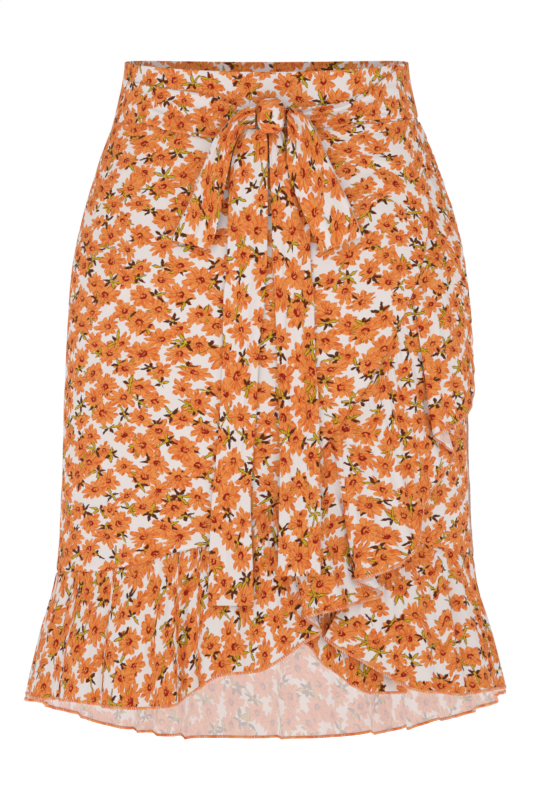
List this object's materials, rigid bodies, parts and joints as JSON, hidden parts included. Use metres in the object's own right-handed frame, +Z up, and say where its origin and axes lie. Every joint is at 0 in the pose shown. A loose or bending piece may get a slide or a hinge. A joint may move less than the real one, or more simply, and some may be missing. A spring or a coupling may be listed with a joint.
{
  "type": "wrap skirt",
  "caption": "Knee-length wrap skirt with a ruffled wrap edge and hem and a tie belt in a bow, in a floral print, filled out as worn.",
  "frame": {"origin": "centre of the waist opening, level with the waistband's upper edge at the sides", "axes": "+Z up out of the waist, the front faces -Y, +X is to the right seen from the front"},
  "size_m": [0.4625, 0.3568, 0.6612],
  "materials": {
    "panel_cloth": "light woven viscose, matt, printed with orange flowers on off-white",
    "ruffle_cloth": "the same printed viscose, gathered, with a narrow overlocked hem in orange thread",
    "band_cloth": "the same printed viscose, doubled",
    "belt_cloth": "the same printed viscose, folded and tied"
  },
  "bodies": {
    "root": {"waistband_front": "band_cloth", "waistband_back": "band_cloth", "back_panel": "panel_cloth", "under_panel": "panel_cloth", "over_panel": "panel_cloth", "back_ruffle": "ruffle_cloth", "under_ruffle": "ruffle_cloth", "over_ruffle": "ruffle_cloth", "sash_left": "belt_cloth", "sash_right": "belt_cloth", "bow_knot": "belt_cloth", "bow_loop_left": "belt_cloth", "bow_loop_right": "belt_cloth", "sash_tail_left": "belt_cloth", "sash_tail_right": "belt_cloth"}
  },
  "joints": []
}
